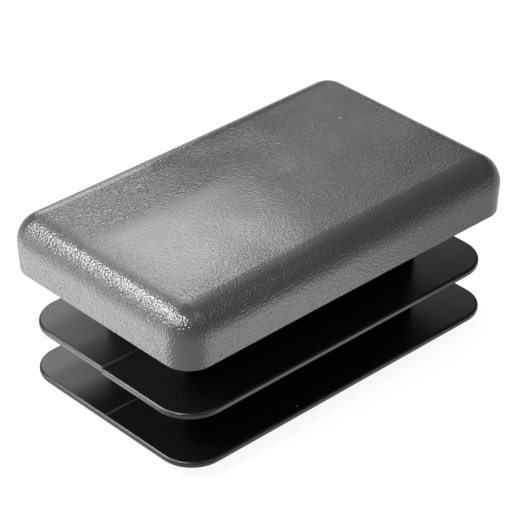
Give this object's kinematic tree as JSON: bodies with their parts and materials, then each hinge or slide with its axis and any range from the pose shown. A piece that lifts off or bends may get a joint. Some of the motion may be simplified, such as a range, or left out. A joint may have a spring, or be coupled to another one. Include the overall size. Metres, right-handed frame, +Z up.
{
  "type": "tube end cap",
  "caption": "Ribbed push-in end cap for rectangular tube: rounded rectangular head over a hollow core with thin gripping fins.",
  "frame": {"origin": "centre of the head's underside, in the plane that seats on the end of the tube", "axes": "+X along the long side, +Y along the short side, +Z up through the head, away from the tube"},
  "size_m": [0.0504, 0.0304, 0.023],
  "materials": {
    "moulded_plastic": "black polyethylene, fine spark-eroded grain on the head, polished fins"
  },
  "bodies": {
    "root": {"end_cap": "moulded_plastic"}
  },
  "joints": []
}
